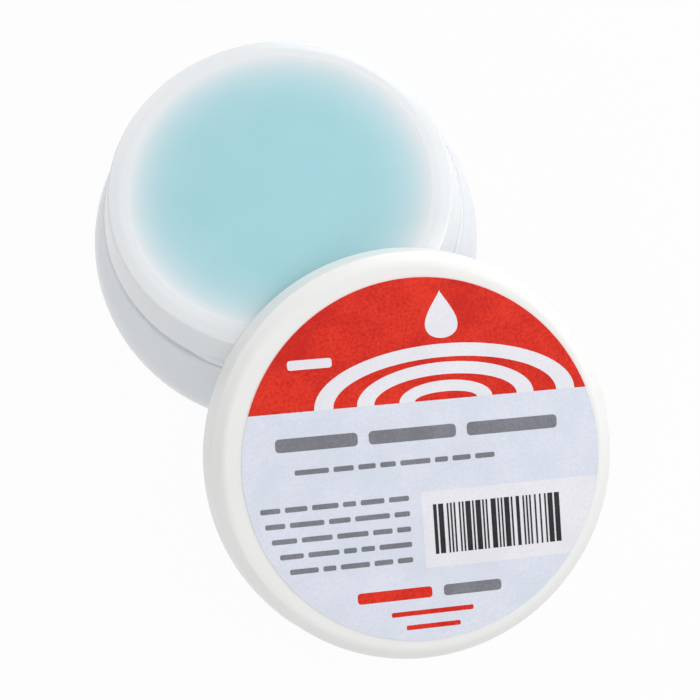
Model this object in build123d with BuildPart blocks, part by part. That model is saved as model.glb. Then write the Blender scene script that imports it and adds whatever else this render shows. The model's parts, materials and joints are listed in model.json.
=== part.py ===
from build123d import *

import math
import os

# Driving dimensions, in millimetres and degrees
# Screw lid
lid_radius = 26.3
lid_height = 6.2
lid_top = 1.2
lid_wall = 1.3
skirt_draft = 0.5
lid_bevel_width = 1.4
lid_bevel_height = 1.3
lid_edge_round = 0.5
# Sealing liner inside the lid
liner_thickness = 0.9
liner_clearance = 0.3
liner_gap = 0.1
bead_catch = 0.2
# Paper label on the lid, stuck on a little off centre
label_margin = 0.9
label_offset = 0.6
label_thickness = 0.12
# Inner cup with the neck and rim
jar_height = 23.0
thread_room = 1.0
neck_height = 6.4
neck_flare = 1.4
neck_wall = 1.3
rim_wall = 1.3
rim_round = 0.8
lip_round = 0.6
cup_wall = 1.2
cup_corner = 0.4
bowl_taper = 5.0
bowl_round = 5.0
seam_chamfer = 0.5
# Outer shell
body_radius = 26.4
body_widest_height = 8.0
base_inset = 2.2
foot_round = 0.6
shell_wall = 1.4
shoulder_step = 0.3
spigot_wall = 1.0
spigot_height = 3.0
spigot_gap = 0.3
snap_bead = 0.3
snap_clearance = 0.1
# Base disc that closes the shell from below
base_recess = 0.5
base_wall = 1.2
base_rim_wall = 1.2
base_rim_height = 2.6
floor_gap = 0.2
# Gel
gel_drop = 0.2
gel_clearance = 0.05
# Lid taken off and leant on the jar
rest_overhang = 3.3
rest_gap = 0.2

# Radii and heights that follow from the driving dimensions
lid_inner_radius = lid_radius - lid_wall
lid_inner_top_radius = lid_inner_radius - skirt_draft
lid_shoulder_radius = lid_radius - skirt_draft
lid_flat_radius = lid_shoulder_radius - lid_bevel_width
liner_radius = lid_inner_top_radius - liner_clearance
liner_face = lid_height - lid_top - liner_gap - liner_thickness
bead_height = liner_clearance + bead_catch
bead_level = liner_face - liner_gap - bead_height
label_radius = lid_flat_radius - label_margin - label_offset

neck_radius = lid_inner_radius - thread_room
neck_slope = neck_flare / neck_height
neck_top_radius = neck_radius - neck_flare
neck_inner_radius = neck_radius - spigot_height * neck_slope - neck_wall
neck_inner_top_radius = neck_inner_radius - (neck_height - spigot_height - rim_wall) * neck_slope
rim_edge_radius = neck_top_radius - rim_round
seam_level = jar_height - neck_height
spigot_radius = neck_inner_radius - snap_clearance
spigot_inner_radius = spigot_radius - spigot_wall
spigot_top = seam_level + spigot_height
snap_level = seam_level + spigot_height / 2
mouth_radius = spigot_inner_radius - spigot_gap - cup_wall
bowl_floor = base_recess + base_wall + floor_gap + cup_wall
bowl_slope = math.tan(math.radians(bowl_taper))
bowl_floor_radius = mouth_radius - (jar_height - bowl_floor) * bowl_slope

shoulder_radius = neck_radius + shoulder_step
base_radius = body_radius - base_inset
base_seat_radius = base_radius - shell_wall
base_disc_radius = base_seat_radius - snap_clearance
base_rim_top = base_recess + base_rim_height
base_snap_level = base_recess + base_rim_height / 2

# The lid stands on its lowest edge and leans on the rim along a chord of its skirt
chord_distance = lid_inner_radius - rest_overhang
rest_level = jar_height + rest_gap
lid_lean = math.degrees(math.asin(rest_level / (lid_radius + chord_distance)))
lean_sine = math.sin(math.radians(lid_lean))
lean_cosine = math.cos(math.radians(lid_lean))
half_chord = math.sqrt(lid_inner_radius**2 - chord_distance**2)
rim_reach = math.sqrt(rim_edge_radius**2 - half_chord**2)
lid_reach = rim_reach + chord_distance * lean_cosine
lid_plane = Plane(
    origin=(0, -lid_reach, lid_radius * lean_sine),
    x_dir=(1, 0, 0),
    z_dir=(0, -lean_sine, lean_cosine),
)
lid_section = Plane(origin=lid_plane.origin, x_dir=lid_plane.x_dir, z_dir=-lid_plane.y_dir)
lid_axis = Axis(lid_plane.origin, lid_plane.z_dir)

os.makedirs("parts", exist_ok=True)

# Outer shell: barrel-shaped wall with a shoulder and a snap spigot, open below
with BuildPart() as outer_shell:
    with BuildSketch(Plane.XZ):
        with BuildLine():
            TangentArc((body_radius, body_widest_height), (base_radius, 0), tangent=(0, -1))
            TangentArc(
                (body_radius, body_widest_height),
                (shoulder_radius, seam_level),
                tangent=(0, 1),
            )
            Polyline(
                (shoulder_radius, seam_level),
                (spigot_radius, seam_level),
                (spigot_radius, snap_level - snap_bead),
                (spigot_radius + snap_bead, snap_level),
                (spigot_radius, snap_level + snap_bead),
                (spigot_radius, spigot_top),
                (spigot_inner_radius, spigot_top),
                (spigot_inner_radius, seam_level - shell_wall),
                (shoulder_radius - shell_wall, seam_level - shell_wall),
            )
            TangentArc(
                (body_radius - shell_wall, body_widest_height),
                (shoulder_radius - shell_wall, seam_level - shell_wall),
                tangent=(0, 1),
            )
            TangentArc(
                (body_radius - shell_wall, body_widest_height),
                (base_seat_radius, base_rim_top),
                tangent=(0, -1),
            )
            Polyline(
                (base_seat_radius, base_rim_top),
                (base_seat_radius, base_snap_level + snap_bead + snap_clearance),
                (base_seat_radius + snap_bead, base_snap_level),
                (base_seat_radius, base_snap_level - snap_bead - snap_clearance),
                (base_seat_radius, 0),
                (base_radius, 0),
            )
        make_face()
    revolve(axis=Axis.Z)
    fillet(outer_shell.edges().group_by(Axis.Z)[0].sort_by(SortBy.RADIUS)[-1], foot_round)
outer_shell.part.label = "outer_shell"
export_step(outer_shell.part, "parts/outer_shell.step")

# Base disc: shallow tray snapped into the shell, raised off the table
with BuildPart() as base_disc:
    with BuildSketch(Plane.XZ):
        with BuildLine():
            Polyline(
                (0, base_recess),
                (base_disc_radius, base_recess),
                (base_disc_radius, base_snap_level - snap_bead),
                (base_disc_radius + snap_bead, base_snap_level),
                (base_disc_radius, base_snap_level + snap_bead),
                (base_disc_radius, base_rim_top),
                (base_disc_radius - base_rim_wall, base_rim_top),
                (base_disc_radius - base_rim_wall, base_recess + base_wall),
                (0, base_recess + base_wall),
                close=True,
            )
        make_face()
    revolve(axis=Axis.Z)
base_disc.part.label = "base_disc"
export_step(base_disc.part, "parts/base_disc.step")

# Inner cup: tapered bowl whose rim turns down into the neck
# Each corner of the section is a point and the radius that rounds it
cup_corners = (
    ((0, bowl_floor), 0),
    ((bowl_floor_radius, bowl_floor), bowl_round),
    ((mouth_radius, jar_height), lip_round),
    ((neck_top_radius, jar_height), rim_round),
    ((neck_radius, seam_level + seam_chamfer), 0),
    ((neck_radius - seam_chamfer, seam_level), 0),
    ((neck_inner_radius, seam_level), 0),
    ((neck_inner_radius, snap_level - snap_bead - snap_clearance), 0),
    ((neck_inner_radius + snap_bead, snap_level), 0),
    ((neck_inner_radius, snap_level + snap_bead + snap_clearance), 0),
    ((neck_inner_radius, spigot_top), 0),
    ((neck_inner_top_radius, jar_height - rim_wall), cup_corner),
    ((mouth_radius + cup_wall, jar_height - rim_wall), cup_corner),
    ((bowl_floor_radius + cup_wall, bowl_floor - cup_wall), bowl_round + cup_wall),
    ((0, bowl_floor - cup_wall), 0),
)
with BuildPart() as inner_cup:
    with BuildSketch(Plane.XZ):
        with BuildLine():
            FilletPolyline(
                [point for point, corner in cup_corners],
                radius=[corner for point, corner in cup_corners],
                close=True,
            )
        make_face()
    revolve(axis=Axis.Z)
inner_cup.part.label = "inner_cup"
export_step(inner_cup.part, "parts/inner_cup.step")

# Gel: fills the bowl to just below the rim
gel_floor = bowl_floor + gel_clearance
gel_level = jar_height - gel_drop
gel_wall_radius = mouth_radius - gel_clearance
with BuildPart() as gel_fill:
    with BuildSketch(Plane.XZ):
        with BuildLine():
            FilletPolyline(
                (0, gel_floor),
                (gel_wall_radius - (jar_height - gel_floor) * bowl_slope, gel_floor),
                (gel_wall_radius - gel_drop * bowl_slope, gel_level),
                (0, gel_level),
                radius=(0, bowl_round, 0, 0),
                close=True,
            )
        make_face()
    revolve(axis=Axis.Z)
gel_fill.part.label = "gel_fill"
export_step(gel_fill.part, "parts/gel_fill.step")

# Screw lid: shallow cap with a drafted skirt, a bevelled edge and a bead that keeps the liner in
lid_corners = (
    ((0, lid_height - lid_top), 0),
    ((lid_inner_top_radius, lid_height - lid_top), liner_clearance),
    ((lid_inner_top_radius, bead_level + bead_height), 0),
    ((lid_inner_top_radius - bead_height, bead_level), 0),
    ((lid_inner_top_radius, bead_level - bead_height), 0),
    ((lid_inner_radius, 0), 0),
    ((lid_radius, 0), 0),
    ((lid_shoulder_radius, lid_height - lid_bevel_height), lid_edge_round),
    ((lid_flat_radius, lid_height), lid_edge_round),
    ((0, lid_height), 0),
)
with BuildPart() as screw_lid:
    with BuildSketch(lid_section):
        with BuildLine():
            FilletPolyline(
                [point for point, corner in lid_corners],
                radius=[corner for point, corner in lid_corners],
                close=True,
            )
        make_face()
    revolve(axis=lid_axis)
screw_lid.part.label = "screw_lid"
export_step(screw_lid.part, "parts/screw_lid.step")

# Liner: loose sealing disc under the lid's top
with BuildPart() as lid_liner:
    with BuildSketch(lid_plane.offset(liner_face)):
        Circle(liner_radius)
    extrude(amount=liner_thickness)
lid_liner.part.label = "lid_liner"
export_step(lid_liner.part, "parts/lid_liner.step")

# Label: thin round sticker on the lid's top
with BuildPart() as lid_label:
    with BuildSketch(lid_plane.offset(lid_height)):
        with Locations((0, -label_offset)):
            Circle(label_radius)
    extrude(amount=label_thickness)
lid_label.part.label = "lid_label"
export_step(lid_label.part, "parts/lid_label.step")
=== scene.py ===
import json
import math
import random

import bpy
from mathutils import Matrix, Vector

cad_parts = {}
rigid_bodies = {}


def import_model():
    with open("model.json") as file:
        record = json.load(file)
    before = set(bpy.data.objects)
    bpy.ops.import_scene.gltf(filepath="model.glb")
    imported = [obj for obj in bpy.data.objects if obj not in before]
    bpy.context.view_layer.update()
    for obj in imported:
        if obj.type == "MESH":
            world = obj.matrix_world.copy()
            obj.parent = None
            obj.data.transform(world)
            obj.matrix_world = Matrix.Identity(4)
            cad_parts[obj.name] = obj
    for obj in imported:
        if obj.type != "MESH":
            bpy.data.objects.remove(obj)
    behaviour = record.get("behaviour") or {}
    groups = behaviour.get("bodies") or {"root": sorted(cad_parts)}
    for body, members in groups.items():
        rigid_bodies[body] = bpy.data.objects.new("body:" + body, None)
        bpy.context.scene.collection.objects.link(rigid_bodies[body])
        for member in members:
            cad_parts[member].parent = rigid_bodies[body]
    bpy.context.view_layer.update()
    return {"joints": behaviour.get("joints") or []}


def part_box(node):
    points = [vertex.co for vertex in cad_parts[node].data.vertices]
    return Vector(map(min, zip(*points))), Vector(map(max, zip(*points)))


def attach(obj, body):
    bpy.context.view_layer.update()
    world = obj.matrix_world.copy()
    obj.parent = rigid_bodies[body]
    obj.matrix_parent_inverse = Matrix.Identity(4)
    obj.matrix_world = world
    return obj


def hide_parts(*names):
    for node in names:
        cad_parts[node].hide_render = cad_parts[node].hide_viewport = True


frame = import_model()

MM = 0.001


def reach(node, axis):
    """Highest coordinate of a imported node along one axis, in millimetres."""
    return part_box(node)[1][axis] / MM


# Sizes in millimetres and degrees. The outer ones come from the frame, the wall and edge details are the
# moulder's.
jar_height = reach("inner_cup", 2)
neck_radius = reach("inner_cup", 0)
body_radius = reach("outer_shell", 0)
base_disc_radius = reach("base_disc", 0)
gel_radius = reach("gel_fill", 0)
gel_level = reach("gel_fill", 2)
lid_radius = reach("screw_lid", 0)
liner_radius = reach("lid_liner", 0)
label_radius = reach("lid_label", 0)

# Roundings that many edges share, the steps of a full turn and how near two points are one
crisp_edge = 0.1
fine_edge = 0.15
soft_edge = 0.3
full_edge = 0.4
broad_edge = 0.5
turn_steps = 240
weld_distance = 0.002

# Cup with its neck and rim
neck_height = 6.4
neck_flare = 1.4
neck_slope = neck_flare / neck_height
neck_wall = 1.3
neck_foot_round = 0.55
rim_wall = 1.3
rim_fall = 0.3
rim_fall_width = 1.5
rim_fall_round = 2
rim_edge_round = 0.45
lip_round = 0.6
cup_wall = 1.2
cup_floor = 3.1
bowl_taper = 5
bowl_slope = math.tan(math.radians(bowl_taper))
bowl_round = 5.0
seam_level = jar_height - neck_height
seam_half_gap = 0.45
seam_top = seam_level + seam_half_gap
seam_foot = seam_level - seam_half_gap
seam_depth = 1.1

# Gel
gel_gap = 0.05
gel_film = 0.02
gel_climb_width = 4.0
gel_climb_steps = 24
gel_rings = (14, 11, 8, 5, 2.5, 0)
mouth_radius = gel_radius + gel_gap + (jar_height - gel_level) * bowl_slope

# Shell and base
body_widest_height = 8.0
body_inner_round = 8
base_inset = 2.2
base_radius = body_radius - base_inset
shoulder_step = 0.3
shoulder_radius = neck_radius + shoulder_step
shoulder_round = 0.6
shell_wall = 1.4
foot_round = 0.6
foot_blend = 0.2
spigot_height = 3.0
spigot_wall = 1.0
spigot_clearance = 0.1
base_recess = 0.5
base_wall = 1.2
base_rim_height = 2.6
base_rim_wall = 1.2
base_bead = 0.3
base_bead_half = 0.4
base_step_inset = 4.0
base_step_width = 0.6
base_step_depth = 0.3
gate_radius = 0.9
gate_height = 0.25
gate_draft = 0.2

# Lid and liner
lid_height = 6.2
lid_top = 1.2
lid_wall = 1.3
skirt_draft = 0.5
skirt_edge_round = 0.35
bevel_width = 1.4
bevel_height = 1.3
bevel_round = 1.5
bevel_foot_round = 0.5
liner_face = 4.0
liner_thickness = 0.9
liner_gap = 0.1
bead_height = 0.5
bead_foot_round = 0.2
bead_level = liner_face - liner_gap - bead_height
mark_inset = 0.4
mark_width = 1.6
mark_outer = neck_radius - neck_flare - mark_inset
mark_inner = mark_outer - mark_width
mark_ramp = 0.4
mark_depth = 0.12

# Screw thread
thread_height = 1.0
thread_proud = 0.5
thread_root = 0.25
thread_crest_share = 0.35
thread_sweep = 100
thread_steps = 100
thread_fade = 18
thread_rise = 0.9
neck_thread_lead = 1.1
neck_thread_level = seam_level + neck_thread_lead
neck_thread_starts = (208, 28)
lid_thread_level = 1.15
lid_thread_starts = (130, 310)

# Label. The places of its print are measured from its middle, and a bar is left, right, middle and height.
label_offset = (0.6, -0.6)
label_thickness = 0.12
label_turn = -19.8
ink_film = 0.02
colour_border = 7.4
print_seed = 7
motif_middle = 3.4
drop_level = 18.1
drop_width = 4.6
drop_height = 6
ripple_sizes = ((6, 2.4, 2), (11.4, 4.7, 2.2), (16.8, 7, 2.4))
side_bar = (-16.4, -10.8, 13.2, 1.2)
panel_left = -0.6
panel_foot = -13.7
panel_top = -4
panel_edge_gap = 0.05
panel_edge_steps = 12
stroke_start = 0.8
stroke_stop = 17
stroke_foot = -12
stroke_top = -5.7
stroke_unit = 0.22
heading_level = 3.4
heading_height = 1.7
heading_bars = ((-18.6, -8.2), (-6.8, 4.4), (5.8, 17.6))
lead_row = (-16.4, 9.2, -0.1)
first_row_level = -4.6
row_height = 0.65
row_pitch = 1.95
row_count = 5
row_edge_gap = 1.4
row_stop = -2.2
grey_foot_bar = (1.5, 9, -16.7, 1.4)
red_foot_bars = ((-9.6, 0, -16.7, 1.4), (-5.4, 5.2, -19.2, 0.6), (-3.6, 3.4, -21, 0.6))

# The lid stands beside the jar: its axis and the middle of its open edge come from its joint.
lid_turn = next(joint for joint in frame["joints"] if joint["name"] == "lid_turn")
lid_axis = Vector(lid_turn["axis"])
lid_lean = math.atan2(-lid_axis.y, lid_axis.z)
jar_place = Matrix.Identity(4)
lid_place = Matrix.Translation(lid_turn["pos_m"]) @ Matrix.Rotation(lid_lean, 4, "X")
label_place = (
    lid_place
    @ Matrix.Translation((label_offset[0] * MM, label_offset[1] * MM, lid_height * MM))
    @ Matrix.Rotation(math.radians(label_turn), 4, "Z")
)


# Modelling helpers


def rounded(corners, closed=False, arc_step=10):
    """Points of an outline whose corners are (x, y, radius), each round as an arc of short steps."""
    points = []
    last = len(corners) - 1
    for place, (x, y, radius) in enumerate(corners):
        corner = Vector((x, y))
        if not radius or (not closed and place in (0, last)):
            points.append(corner)
            continue
        back = (Vector(corners[place - 1][:2]) - corner).normalized()
        ahead = (Vector(corners[(place + 1) % len(corners)][:2]) - corner).normalized()
        half = back.angle(ahead) / 2
        centre = corner + (back + ahead).normalized() * radius / math.sin(half)
        spoke = corner + back * radius / math.tan(half) - centre
        sweep = math.copysign(math.pi - 2 * half, ahead.x * back.y - ahead.y * back.x)
        steps = max(2, math.ceil(abs(math.degrees(sweep)) / arc_step))
        for step in range(steps + 1):
            turn = Matrix.Rotation(sweep * step / steps, 2)
            points.append(centre + turn @ spoke)
    return points


def barrel(widest, level, end_radius, end_level, steps=14):
    """Points of an arc that is upright at its widest level and runs to the end given."""
    inset = widest - end_radius
    height = end_level - level
    arc_radius = (height**2 + inset**2) / (2 * inset)
    full = math.asin(height / arc_radius)
    points = []
    for step in range(steps + 1):
        angle = full * step / steps
        points.append((widest - arc_radius * (1 - math.cos(angle)), level + arc_radius * math.sin(angle)))
    return points


def begin(name):
    """An empty piece at the origin, open in edit mode, with nothing else selected."""
    bpy.ops.object.select_all(action="DESELECT")
    bpy.ops.object.add(type="MESH", location=(0, 0, 0))
    piece = bpy.context.object
    piece.name = name
    piece.data.name = name
    bpy.ops.object.mode_set(mode="EDIT")
    return piece


def draw(points):
    """Draws a chain of points in the piece that is open in edit mode, from one vertex by extruding."""
    bpy.ops.mesh.primitive_plane_add(size=MM, location=(0, 0, 0))
    bpy.ops.mesh.merge(type="CENTER")
    bpy.ops.transform.translate(value=points[0])
    for here, following in zip(points, points[1:]):
        bpy.ops.mesh.extrude_region_move(TRANSFORM_OT_translate={"value": following - here})


def end(piece, smooth=35):
    """Closes edit mode on a finished shell: doubles merged, normals outwards, smooth up to an angle."""
    bpy.ops.mesh.select_all(action="SELECT")
    bpy.ops.mesh.remove_doubles(threshold=weld_distance * MM)
    bpy.ops.mesh.normals_make_consistent(inside=False)
    bpy.ops.object.mode_set(mode="OBJECT")
    bpy.ops.object.shade_smooth_by_angle(angle=math.radians(smooth))
    return piece


def turned(name, outline):
    """A piece turned about the upright axis from its section of (radius, height) points."""
    piece = begin(name)
    draw([Vector((radius * MM, 0, height * MM)) for radius, height in outline])
    bpy.ops.mesh.select_all(action="SELECT")
    bpy.ops.mesh.spin(steps=turn_steps, angle=2 * math.pi, center=(0, 0, 0), axis=(0, 0, 1))
    return end(piece)


def printed(name, outlines, level):
    """A thin film of ink with the outlines given, lying at a level above the lid's top face."""
    piece = begin(name)
    for outline in outlines:
        draw([Vector((x * MM, y * MM, level * MM)) for x, y in outline])
        bpy.ops.mesh.select_linked()
        bpy.ops.mesh.edge_face_add()
    bpy.ops.object.mode_set(mode="OBJECT")
    film = piece.modifiers.new("film", "SOLIDIFY")
    film.thickness = ink_film * MM
    film.offset = 0
    bpy.ops.object.modifier_apply(modifier=film.name)
    bpy.ops.object.mode_set(mode="EDIT")
    return end(piece)


def set_down(piece, place, body, slot, materials, *nodes):
    """Puts a piece in its place with the place in its mesh, dresses it and hangs it on its body."""
    bpy.ops.object.select_all(action="DESELECT")
    piece.select_set(True)
    bpy.context.view_layer.objects.active = piece
    piece.matrix_world = place
    bpy.ops.object.transform_apply(location=True, rotation=True, scale=True)
    for material in materials:
        piece.data.materials.append(material)
    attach(piece, body)
    if nodes:
        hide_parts(*nodes)


# Material helpers


def srgb(colour):
    """Linear colour from an sRGB hex value."""
    channels = [int(colour[place:place + 2], 16) / 255 for place in (1, 3, 5)]
    return [c / 12.92 if c <= 0.04045 else ((c + 0.055) / 1.055) ** 2.4 for c in channels] + [1]


def add(tree, kind, inputs=None, **settings):
    """Adds a node, sets it and fills its inputs with values or links."""
    made = tree.nodes.new(kind)
    for key, value in settings.items():
        setattr(made, key, value)
    for key, value in (inputs or {}).items():
        if isinstance(value, bpy.types.NodeSocket):
            tree.links.new(value, made.inputs[key])
        else:
            made.inputs[key].default_value = value
    return made


def start(name):
    """A material with only its output, and the tree to fill."""
    material = bpy.data.materials.new(name)
    material.use_nodes = True
    tree = material.node_tree
    tree.nodes.clear()
    return material, tree, add(tree, "ShaderNodeOutputMaterial")


def object_place(tree):
    """Place of each point in the piece's own coordinates."""
    return add(tree, "ShaderNodeTexCoord").outputs["Object"]


def noise(tree, place, width, detail):
    """Noise with clouds of about the width given in millimetres."""
    inputs = {"Vector": place, "Scale": 1 / (width * MM), "Detail": detail}
    return add(tree, "ShaderNodeTexNoise", inputs).outputs["Fac"]


def reckon(tree, operation, *values, **settings):
    """Result of a calculation with values or links."""
    inputs = dict(enumerate(values))
    return add(tree, "ShaderNodeMath", inputs, operation=operation, **settings).outputs["Value"]


def blend(tree, share, first, second):
    """Colour that goes from the first to the second as the share rises."""
    return add(tree, "ShaderNodeMix", {0: share, 6: first, 7: second}, data_type="RGBA").outputs[2]


def spread(tree, value, low, high):
    """A value of 0 to 1 spread from low to high."""
    inputs = {"Value": value, "To Min": low, "To Max": high}
    return add(tree, "ShaderNodeMapRange", inputs).outputs["Result"]


def relief(tree, height, strength, depth):
    """Normal of a fine relief with its depth in millimetres."""
    inputs = {"Height": height, "Strength": strength, "Distance": depth * MM}
    return add(tree, "ShaderNodeBump", inputs).outputs["Normal"]


def cover(tree, output, colour, roughness, normal, constants):
    """Ends a material in its shader, with the links and the constants given."""
    links = {"Base Color": colour, "Roughness": roughness, "Normal": normal}
    shader = add(tree, "ShaderNodeBsdfPrincipled", {**links, **constants})
    tree.links.new(shader.outputs[0], output.inputs["Surface"])


# Materials


def moulded_polypropylene(name, light, dark, translucence, shine, roughness):
    """Satin polypropylene straight from a polished mould: faint flow clouds 12 mm wide in the colour and
    a fine grain. The real grain is about 0.1 mm, drawn here at 0.4 mm so that it shows."""
    roughness_spread = 0.07
    material, tree, output = start(name)
    place = object_place(tree)
    clouds = noise(tree, place, width=12, detail=3)
    grain = noise(tree, place, width=0.4, detail=2)
    colour = blend(tree, clouds, srgb(dark), srgb(light))
    gloss = spread(tree, clouds, roughness, roughness + roughness_spread)
    normal = relief(tree, grain, strength=0.08, depth=0.03)
    constants = {
        "IOR": 1.49,
        "Specular IOR Level": shine,
        "Subsurface Weight": translucence,
        "Subsurface Radius": (1, 0.95, 0.9),
        "Subsurface Scale": 0.5 * MM,
    }
    cover(tree, output, colour, gloss, normal, constants)
    return material


def moistening_gel(fade_radius, fade_power, sway_width):
    """Cast soap gel, cloudy pale blue: deep colour in the middle, and at the edge, where the bowl's wall
    comes close under the surface, its white shows through. The skin is soft and a little wet."""
    material, tree, output = start("cast_soap_gel")
    place = object_place(tree)
    flat = add(tree, "ShaderNodeVectorMath", {0: place, 1: (1, 1, 0)}, operation="MULTIPLY")
    radius = add(tree, "ShaderNodeVectorMath", {0: flat.outputs["Vector"]}, operation="LENGTH")
    sway = noise(tree, place, width=9, detail=2)
    edge = reckon(tree, "MULTIPLY_ADD", sway, sway_width * MM, radius.outputs["Value"])
    share = reckon(tree, "DIVIDE", edge, fade_radius * MM)
    fade = reckon(tree, "POWER", share, fade_power, use_clamp=True)
    clouds = noise(tree, place, width=7, detail=3)
    blue = blend(tree, clouds, srgb("#9DD0D8"), srgb("#A9D7DE"))
    colour = blend(tree, fade, blue, srgb("#EDEEF1"))
    skin = noise(tree, place, width=2.5, detail=2)
    gloss = spread(tree, skin, 0.3, 0.42)
    normal = relief(tree, skin, strength=0.1, depth=0.08)
    cover(tree, output, colour, gloss, normal, {"IOR": 1.45})
    return material


def printed_paper(name, light, dark):
    """Coated label paper with an offset-printed ink: the ink lies in a fine mottle of about 0.35 mm and
    wider clouds, under a thin even varnish."""
    material, tree, output = start(name)
    place = object_place(tree)
    mottle = noise(tree, place, width=0.35, detail=3)
    clouds = noise(tree, place, width=5, detail=3)
    depth = reckon(tree, "MULTIPLY", mottle, clouds)
    inputs = {"Value": depth, "From Min": 0.16, "From Max": 0.36}
    ink = add(tree, "ShaderNodeMapRange", inputs).outputs["Result"]
    colour = blend(tree, ink, srgb(dark), srgb(light))
    gloss = spread(tree, ink, 0.42, 0.55)
    normal = relief(tree, mottle, strength=0.06, depth=0.02)
    cover(tree, output, colour, gloss, normal, {"IOR": 1.5, "Specular IOR Level": 0.25})
    return material


def foamed_polyethylene():
    """Foam sheet punched to a disc: matt, with cells about 0.5 mm wide that dimple the face."""
    material, tree, output = start("foamed_polyethylene")
    place = object_place(tree)
    cells = add(tree, "ShaderNodeTexVoronoi", {"Vector": place, "Scale": 1 / (0.5 * MM)}).outputs["Distance"]
    colour = blend(tree, cells, srgb("#EDEDEA"), srgb("#DEDEDB"))
    gloss = spread(tree, cells, 0.7, 0.85)
    normal = relief(tree, cells, strength=0.3, depth=0.08)
    constants = {
        "IOR": 1.5,
        "Subsurface Weight": 0.2,
        "Subsurface Radius": (1, 1, 1),
        "Subsurface Scale": 0.8 * MM,
    }
    cover(tree, output, colour, gloss, normal, constants)
    return material


jar_plastic = moulded_polypropylene(
    "polypropylene_cool_white", "#EAEEF1", "#E3E7EB", translucence=0.1, shine=0.28, roughness=0.18
)
cup_plastic = moulded_polypropylene(
    "polypropylene_natural_white", "#EEF1F2", "#E7EBED", translucence=0.08, shine=0.5, roughness=0.18
)
lid_plastic = moulded_polypropylene(
    "polypropylene_warm_white", "#F5F5F3", "#EFEFEC", translucence=0.15, shine=0.3, roughness=0.28
)
gel = moistening_gel(fade_radius=20.5, fade_power=6.9, sway_width=0.6)
foam = foamed_polyethylene()
red_ink = printed_paper("label_paper_red", "#E6331D", "#CA1C0E")
lilac_ink = printed_paper("label_paper_lilac", "#E4E8F3", "#DBE0ED")
white_ink = printed_paper("label_paper_white", "#F0EFF4", "#E9E8EE")
grey_ink = printed_paper("label_ink_grey", "#85868E", "#77787F")
black_ink = printed_paper("label_ink_black", "#2A2A2E", "#1C1C20")


# The jar


def jar_shell():
    """Barrel-shaped wall with a shoulder and a spigot for the cup, open below."""
    base_seat = base_radius - shell_wall
    spigot_radius = neck_radius - spigot_height * neck_slope - neck_wall - spigot_clearance
    spigot_inner = spigot_radius - spigot_wall
    spigot_top = seam_level + spigot_height
    under_shoulder = seam_foot - shell_wall
    foot = rounded([(base_seat, 0, 0), (base_radius, 0, foot_round), (base_radius, 2 * foot_round, 0)])
    lower = barrel(body_radius, body_widest_height, base_radius, 0)
    lower = [point for point in reversed(lower) if point[1] > foot_round + foot_blend]
    upper = barrel(body_radius, body_widest_height, shoulder_radius, seam_foot - shoulder_round)
    top = rounded(
        [
            (upper[-1][0], upper[-1][1], 0),
            (shoulder_radius, seam_foot, shoulder_round),
            (spigot_radius, seam_foot, crisp_edge),
            (spigot_radius, spigot_top, soft_edge),
            (spigot_inner, spigot_top, soft_edge),
            (spigot_inner, under_shoulder, crisp_edge),
            (shoulder_radius - shell_wall, under_shoulder, broad_edge),
            (body_radius - shell_wall, body_widest_height, body_inner_round),
            (base_seat, base_recess + base_rim_height, 0),
            (base_seat, 0, 0),
        ]
    )
    outline = [tuple(p) for p in foot[:-1]] + lower + upper[1:-1] + [tuple(p) for p in top]
    piece = turned("jar_shell", outline)
    set_down(piece, jar_place, "jar", "jar_plastic", [jar_plastic], "outer_shell")


def jar_base():
    """Shallow tray that closes the jar from below, with a stepped middle and the stub of its gate."""
    low = base_recess
    high = base_recess + base_wall
    rim_top = base_recess + base_rim_height
    bead_middle = base_recess + base_rim_height / 2
    outer = base_disc_radius - base_bead
    step_outer = outer - base_step_inset
    outline = rounded(
        [
            (0, low - gate_height, 0),
            (gate_radius, low - gate_height, fine_edge),
            (gate_radius + gate_draft, low + base_step_depth, crisp_edge),
            (step_outer - base_step_width, low + base_step_depth, soft_edge),
            (step_outer, low, soft_edge),
            (outer, low, full_edge),
            (outer, bead_middle - base_bead_half, crisp_edge),
            (outer + base_bead, bead_middle, crisp_edge),
            (outer, bead_middle + base_bead_half, crisp_edge),
            (outer, rim_top, soft_edge),
            (outer - base_rim_wall, rim_top, soft_edge),
            (outer - base_rim_wall, high, soft_edge),
            (0, high, 0),
        ]
    )
    piece = turned("jar_base", outline)
    set_down(piece, jar_place, "jar", "jar_plastic", [jar_plastic], "base_disc")


def jar_cup():
    """Tapered bowl whose rim turns down into the neck and ends above the seam's gap."""
    floor_radius = mouth_radius - (jar_height - cup_floor) * bowl_slope
    neck_inner = neck_radius - spigot_height * neck_slope - neck_wall
    neck_inner_top = neck_inner - (neck_height - spigot_height - rim_wall) * neck_slope
    rim_radius = neck_radius - neck_flare
    seam_edge = neck_radius - seam_depth
    outline = rounded(
        [
            (0, cup_floor, 0),
            (floor_radius, cup_floor, bowl_round),
            (mouth_radius, jar_height, lip_round),
            (rim_radius - rim_fall_width, jar_height, rim_fall_round),
            (rim_radius, jar_height - rim_fall, rim_edge_round),
            (neck_radius - seam_half_gap * neck_slope, seam_top, neck_foot_round),
            (seam_edge, seam_top, 0),
            (seam_edge, seam_foot, 0),
            (neck_inner, seam_foot, 0),
            (neck_inner, seam_level + spigot_height, 0),
            (neck_inner_top, jar_height - rim_wall, full_edge),
            (mouth_radius + cup_wall, jar_height - rim_wall, full_edge),
            (floor_radius + cup_wall, cup_floor - cup_wall, bowl_round + cup_wall),
            (0, cup_floor - cup_wall, 0),
        ],
        arc_step=6,
    )
    piece = turned("jar_cup", outline)
    set_down(piece, jar_place, "jar", "cup_plastic", [cup_plastic], "inner_cup")


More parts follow.
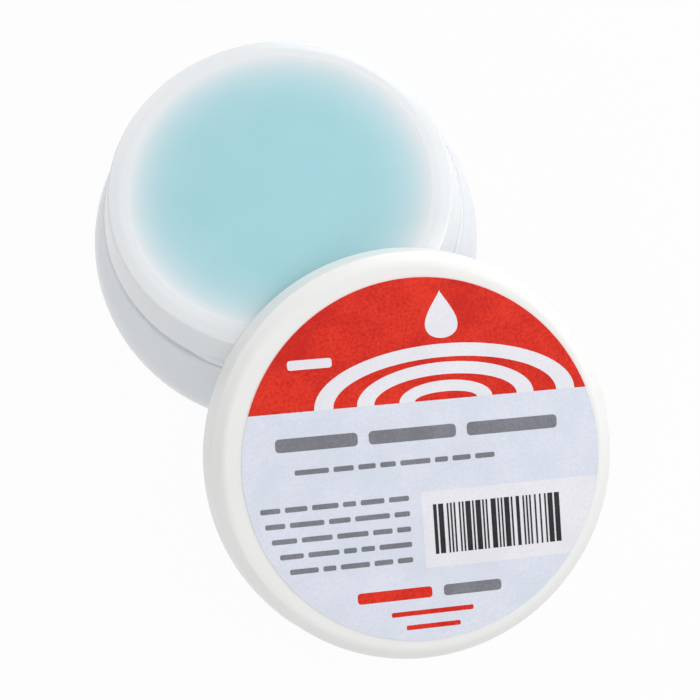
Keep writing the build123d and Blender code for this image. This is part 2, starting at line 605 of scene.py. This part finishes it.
def gel_cake():
    """Gel cast in the bowl to the brim: a nearly flat top that climbs over the lip's rounding all round."""
    floor = cup_floor + gel_gap
    floor_radius = mouth_radius - gel_gap - (jar_height - floor) * bowl_slope
    lip_foot = jar_height - 2 * lip_round
    lower = rounded([(0, floor, 0), (floor_radius, floor, bowl_round), (gel_radius, lip_foot, 0)])
    lip = rounded(
        [
            (mouth_radius - 2 * lip_round * bowl_slope, lip_foot, 0),
            (mouth_radius, jar_height, lip_round),
            (neck_radius, jar_height, 0),
        ],
        arc_step=6,
    )
    lip = [point for point in lip[1:] if point.y < jar_height - gel_film]
    edge_radius, edge_level = lip[-1]
    climb = edge_level - gel_level
    top = []
    for step in range(1, gel_climb_steps + 1):
        left = 1 - step / gel_climb_steps
        top.append((edge_radius - gel_climb_width * (1 - left), gel_level + climb * left**2))
    across = [(radius, gel_level) for radius in gel_rings]
    piece = turned("gel_cake", [tuple(point) for point in lower + lip] + top + across)
    set_down(piece, jar_place, "jar", "gel", [gel], "gel_fill")


def thread_lug(name, wall_radius, wall_slope, side, low):
    """One start of the screw thread: a low ridge that climbs round a tapered wall and fades at both ends.
    It points outwards where side is 1 and inwards where side is -1."""
    root = wall_radius - side * thread_root
    crest = wall_radius + side * thread_proud
    half = thread_height / 2
    section = rounded(
        [
            (root, low - half, 0),
            (wall_radius, low - half, crisp_edge),
            (crest, low - half * thread_crest_share, fine_edge),
            (crest, low + half * thread_crest_share, fine_edge),
            (wall_radius, low + half, crisp_edge),
            (root, low + half, 0),
        ]
    )
    piece = begin(name)
    draw([Vector((x * MM, 0, z * MM)) for x, z in section])
    bpy.ops.mesh.select_all(action="SELECT")
    bpy.ops.mesh.edge_face_add()
    bpy.ops.object.mode_set(mode="OBJECT")
    turn = piece.modifiers.new("turn", "SCREW")
    turn.angle = math.radians(thread_sweep)
    turn.screw_offset = thread_rise * MM
    turn.steps = thread_steps
    turn.render_steps = thread_steps
    bpy.ops.object.modifier_apply(modifier=turn.name)
    # The ridge follows the wall's taper, and both ends sink into the wall
    for vertex in piece.data.vertices:
        x, y, z = vertex.co
        along = math.degrees(math.atan2(y, x)) % 360
        to_end = min(1, max(0, min(along, thread_sweep - along)) / thread_fade)
        keep = to_end * to_end * (3 - 2 * to_end)
        radius = math.hypot(x, y)
        wanted = root * MM + (radius - root * MM) * keep - (z - low * MM) * wall_slope
        vertex.co = (x * wanted / radius, y * wanted / radius, z)
    bpy.ops.object.mode_set(mode="EDIT")
    return end(piece)


def neck_thread():
    """Two short starts on the neck, half a turn apart."""
    wall = neck_radius - (neck_thread_level - seam_level) * neck_slope
    for count, start_angle in enumerate(neck_thread_starts):
        turn = Matrix.Rotation(math.radians(start_angle), 4, "Z")
        piece = thread_lug(f"neck_thread_{count}", wall, neck_slope, 1, neck_thread_level)
        set_down(piece, jar_place @ turn, "jar", "cup_plastic", [cup_plastic])


# The lid


def lid_cap():
    """Shallow cap with a drafted skirt, a bevelled edge and a bead that keeps the liner in."""
    inner = lid_radius - lid_wall
    inner_top = inner - skirt_draft
    skirt_top = lid_radius - skirt_draft
    outline = rounded(
        [
            (0, lid_height - lid_top, 0),
            (inner_top, lid_height - lid_top, soft_edge),
            (inner_top, bead_level + bead_height, crisp_edge),
            (inner_top - bead_height, bead_level, fine_edge),
            (inner_top, bead_level - bead_height, bead_foot_round),
            (inner, 0, skirt_edge_round),
            (lid_radius, 0, skirt_edge_round),
            (skirt_top, lid_height - bevel_height, bevel_foot_round),
            (skirt_top - bevel_width, lid_height, bevel_round),
            (0, lid_height, 0),
        ],
        arc_step=6,
    )
    piece = turned("lid_cap", outline)
    set_down(piece, lid_place, "lid", "lid_plastic", [lid_plastic], "screw_lid")


def lid_thread():
    """Two short starts inside the skirt, half a turn apart."""
    slope = skirt_draft / (bead_level - bead_height)
    wall = lid_radius - lid_wall - lid_thread_level * slope
    for count, start_angle in enumerate(lid_thread_starts):
        turn = Matrix.Rotation(math.radians(start_angle), 4, "Z")
        piece = thread_lug(f"lid_thread_{count}", wall, slope, -1, lid_thread_level)
        set_down(piece, lid_place @ turn, "lid", "lid_plastic", [lid_plastic])


def lid_seal():
    """Sealing disc under the lid's top, with the ring that the jar's rim has pressed into it."""
    top = liner_face + liner_thickness
    outline = rounded(
        [
            (0, liner_face, 0),
            (mark_inner - mark_ramp, liner_face, broad_edge),
            (mark_inner, liner_face + mark_depth, full_edge),
            (mark_outer, liner_face + mark_depth, full_edge),
            (mark_outer + mark_ramp, liner_face, broad_edge),
            (liner_radius, liner_face, fine_edge),
            (liner_radius, top, fine_edge),
            (0, top, 0),
        ]
    )
    piece = turned("lid_seal", outline)
    set_down(piece, lid_place, "liner", "liner_foam", [foam], "lid_liner")


def label_sheet():
    """Round paper label: two colours that meet on a straight border across it."""
    bpy.ops.object.select_all(action="DESELECT")
    bpy.ops.mesh.primitive_circle_add(vertices=turn_steps, radius=label_radius * MM, fill_type="NGON")
    piece = bpy.context.object
    piece.name = "label_sheet"
    bpy.ops.object.mode_set(mode="EDIT")
    bpy.ops.mesh.select_all(action="SELECT")
    bpy.ops.mesh.extrude_region_move(TRANSFORM_OT_translate={"value": (0, 0, label_thickness * MM)})
    bpy.ops.mesh.select_all(action="SELECT")
    bpy.ops.mesh.bisect(plane_co=(0, colour_border * MM, 0), plane_no=(0, 1, 0))
    bpy.ops.mesh.select_all(action="SELECT")
    bpy.ops.mesh.fill_holes(sides=0)
    end(piece)
    for face in piece.data.polygons:
        face.material_index = int(face.center.y > colour_border * MM)
    set_down(piece, label_place, "lid", "label_paper", [lilac_ink, red_ink], "lid_label")


# The print is plain: a drop over ripples, rows of bars and a panel of upright strokes.


def bar(left, right, middle, height):
    """Outline of a bar with softened corners."""
    low = middle - height / 2
    high = middle + height / 2
    corner = 0.3 * height
    corners = [(left, low, corner), (right, low, corner), (right, high, corner), (left, high, corner)]
    return rounded(corners, closed=True, arc_step=30)


def row_of_bars(left, right, middle, height, chance):
    """Bars of uneven length that fill one row. A rest too short for another bar goes to the last one."""
    shortest, longest = 2.2, 7
    gap = 0.9 * height
    outlines = []
    while right - left > 2 * height:
        length = height * chance.uniform(shortest, longest)
        stop = min(right, left + length)
        if right - stop < 3 * height:
            stop = right
        outlines.append(bar(left, stop, middle, height))
        left = stop + gap
    return outlines


def drop(x, y, width, height, steps=48):
    """Outline of a falling drop with its point up."""
    swell = 0.65 * width
    outline = []
    for step in range(steps):
        angle = 2 * math.pi * step / steps
        outline.append((
            x + swell * math.sin(angle) * math.sin(angle / 2) ** 1.5,
            y + height / 2 * math.cos(angle),
        ))
    return outline


def ripple(x, y, width, height, thickness, steps=40):
    """Outline of the upper half of a flat ring."""
    arc = [math.pi * step / steps for step in range(steps + 1)]
    inner_width = width - thickness
    inner_height = height - 0.7 * thickness
    outer = [(x + width * math.cos(a), y + height * math.sin(a)) for a in arc]
    inner = [(x + inner_width * math.cos(a), y + inner_height * math.sin(a)) for a in arc]
    return outer + inner[::-1]


def label_print():
    """Ink films of the label, one piece for each colour and use."""
    chance = random.Random(print_seed)
    motif = [drop(motif_middle, drop_level, drop_width, drop_height)]
    motif += [ripple(motif_middle, colour_border, *size) for size in ripple_sizes]
    motif.append(bar(*side_bar))
    panel = [(panel_left, panel_top), (panel_left, panel_foot)]
    for step in range(panel_edge_steps + 1):
        level = panel_foot + (panel_top - panel_foot) * step / panel_edge_steps
        panel.append((math.sqrt((label_radius - panel_edge_gap) ** 2 - level**2), level))
    strokes = []
    left = stroke_start
    while left < stroke_stop:
        right = left + stroke_unit * chance.choice((1, 1, 2, 3))
        strokes.append([(left, stroke_foot), (right, stroke_foot), (right, stroke_top), (left, stroke_top)])
        left = right + stroke_unit * chance.choice((1, 1, 2))
    text = [bar(*ends, heading_level, heading_height) for ends in heading_bars]
    text += row_of_bars(*lead_row, row_height, chance)
    for row in range(row_count):
        level = first_row_level - row_pitch * row
        row_start = row_edge_gap - math.sqrt(label_radius**2 - level**2)
        text += row_of_bars(row_start, row_stop, level, row_height, chance)
    text.append(bar(*grey_foot_bar))
    mark = [bar(*place) for place in red_foot_bars]
    films = (
        ("label_motif", motif, label_thickness, white_ink),
        ("label_panel", [panel], label_thickness, white_ink),
        ("label_strokes", strokes, label_thickness + ink_film, black_ink),
        ("label_text", text, label_thickness, grey_ink),
        ("label_mark", mark, label_thickness, red_ink),
    )
    for name, outlines, level, ink in films:
        set_down(printed(name, outlines, level), label_place, "lid", "label_paper", [ink])


jar_shell()
jar_base()
jar_cup()
gel_cake()
neck_thread()
lid_cap()
lid_thread()
lid_seal()
label_sheet()
label_print()


# Floor, light and camera


def plain_view(tree):
    """Factor that is 1 where the camera, a reflection or clear matter looks, and 0 for the light itself."""
    rays = add(tree, "ShaderNodeLightPath").outputs
    seen = reckon(tree, "MAXIMUM", rays["Is Camera Ray"], rays["Is Glossy Ray"])
    return reckon(tree, "MAXIMUM", seen, rays["Is Transmission Ray"])


def mixed(tree, share, first, second, output):
    """Ends a tree in a mix of two shaders."""
    inputs = {0: share, 1: first.outputs[0], 2: second.outputs[0]}
    tree.links.new(add(tree, "ShaderNodeMixShader", inputs).outputs[0], output.inputs["Surface"])


def studio_floor(width=3, own_light=0.96):
    """White sweep: pure white to the eye, with a share of its own light so that the shadow stays."""
    bpy.ops.object.select_all(action="DESELECT")
    bpy.ops.mesh.primitive_plane_add(size=width, location=(0, 0, 0))
    floor = bpy.context.object
    floor.name = "studio_floor"
    material, tree, output = start("white_sweep")
    share = reckon(tree, "MULTIPLY", plain_view(tree), own_light)
    paper = add(tree, "ShaderNodeBsdfDiffuse", {"Color": srgb("#D2D2D4")})
    white = add(tree, "ShaderNodeEmission", {"Color": (1, 1, 1, 1), "Strength": 1})
    mixed(tree, share, paper, white, output)
    floor.data.materials.append(material)


def studio_light():
    """Soft white tent with wide lamps round it, the nearest on the right, so that the light falls off to the
    left, and one small lamp high at the front left that draws a line of light along the edges."""
    world = bpy.data.worlds.new("white_tent")
    bpy.context.scene.world = world
    world.use_nodes = True
    tree = world.node_tree
    tree.nodes.clear()
    output = add(tree, "ShaderNodeOutputWorld")
    tent = add(tree, "ShaderNodeBackground", {"Color": srgb("#FDFDFF"), "Strength": 0.42})
    backdrop = add(tree, "ShaderNodeBackground", {"Color": (1, 1, 1, 1), "Strength": 1})
    mixed(tree, plain_view(tree), tent, backdrop, output)
    aim = Vector((0, -20 * MM, 10 * MM))
    # Name, bearing and height in degrees, distance in metres, energy in watts and width in metres
    lamps = (
        ("key_lamp", 335, 54, 0.25, 0.132, 0.17),
        ("left_lamp", 222, 26, 0.45, 0.46, 0.2),
        ("edge_lamp", 242, 62, 0.45, 0.08, 0.09),
        ("right_lamp", 338, 24, 0.45, 0.56, 0.3),
        ("back_lamp", 50, 26, 0.45, 0.6, 0.3),
        ("far_lamp", 105, 26, 0.45, 0.32, 0.3),
    )
    for name, bearing, height, distance, energy, size in lamps:
        turn = Matrix.Rotation(math.radians(bearing), 3, "Z") @ Matrix.Rotation(math.radians(-height), 3, "Y")
        spot = turn @ Vector((distance, 0, 0))
        bpy.ops.object.select_all(action="DESELECT")
        bpy.ops.object.light_add(type="AREA", location=spot)
        lamp = bpy.context.object
        lamp.name = name
        lamp.rotation_euler = (aim - spot).to_track_quat("-Z", "Y").to_euler()
        lamp.data.shape = "DISK"
        lamp.data.size = size
        lamp.data.energy = energy


def photo_camera():
    """The photograph's viewpoint: high above the front left, aimed between jar and lid."""
    azimuth = math.radians(-22.54)
    elevation = math.radians(67.23)
    roll = math.radians(-3.81)
    distance = 221.3 * MM
    aim = Vector((-1.89 * MM, -24.89 * MM, jar_height * MM))
    turn = (
        Matrix.Rotation(azimuth, 4, "Z")
        @ Matrix.Rotation(math.pi / 2 - elevation, 4, "X")
        @ Matrix.Rotation(roll, 4, "Z")
    )
    bpy.ops.object.select_all(action="DESELECT")
    bpy.ops.object.camera_add()
    camera = bpy.context.object
    camera.name = "photo_camera"
    camera.matrix_world = Matrix.Translation(aim) @ turn @ Matrix.Translation((0, 0, distance))
    camera.data.sensor_width = 36
    camera.data.lens = 90.67
    camera.data.clip_start = 0.01
    bpy.context.scene.camera = camera


studio_floor()
studio_light()
photo_camera()
bpy.context.scene.view_settings.view_transform = "Standard"
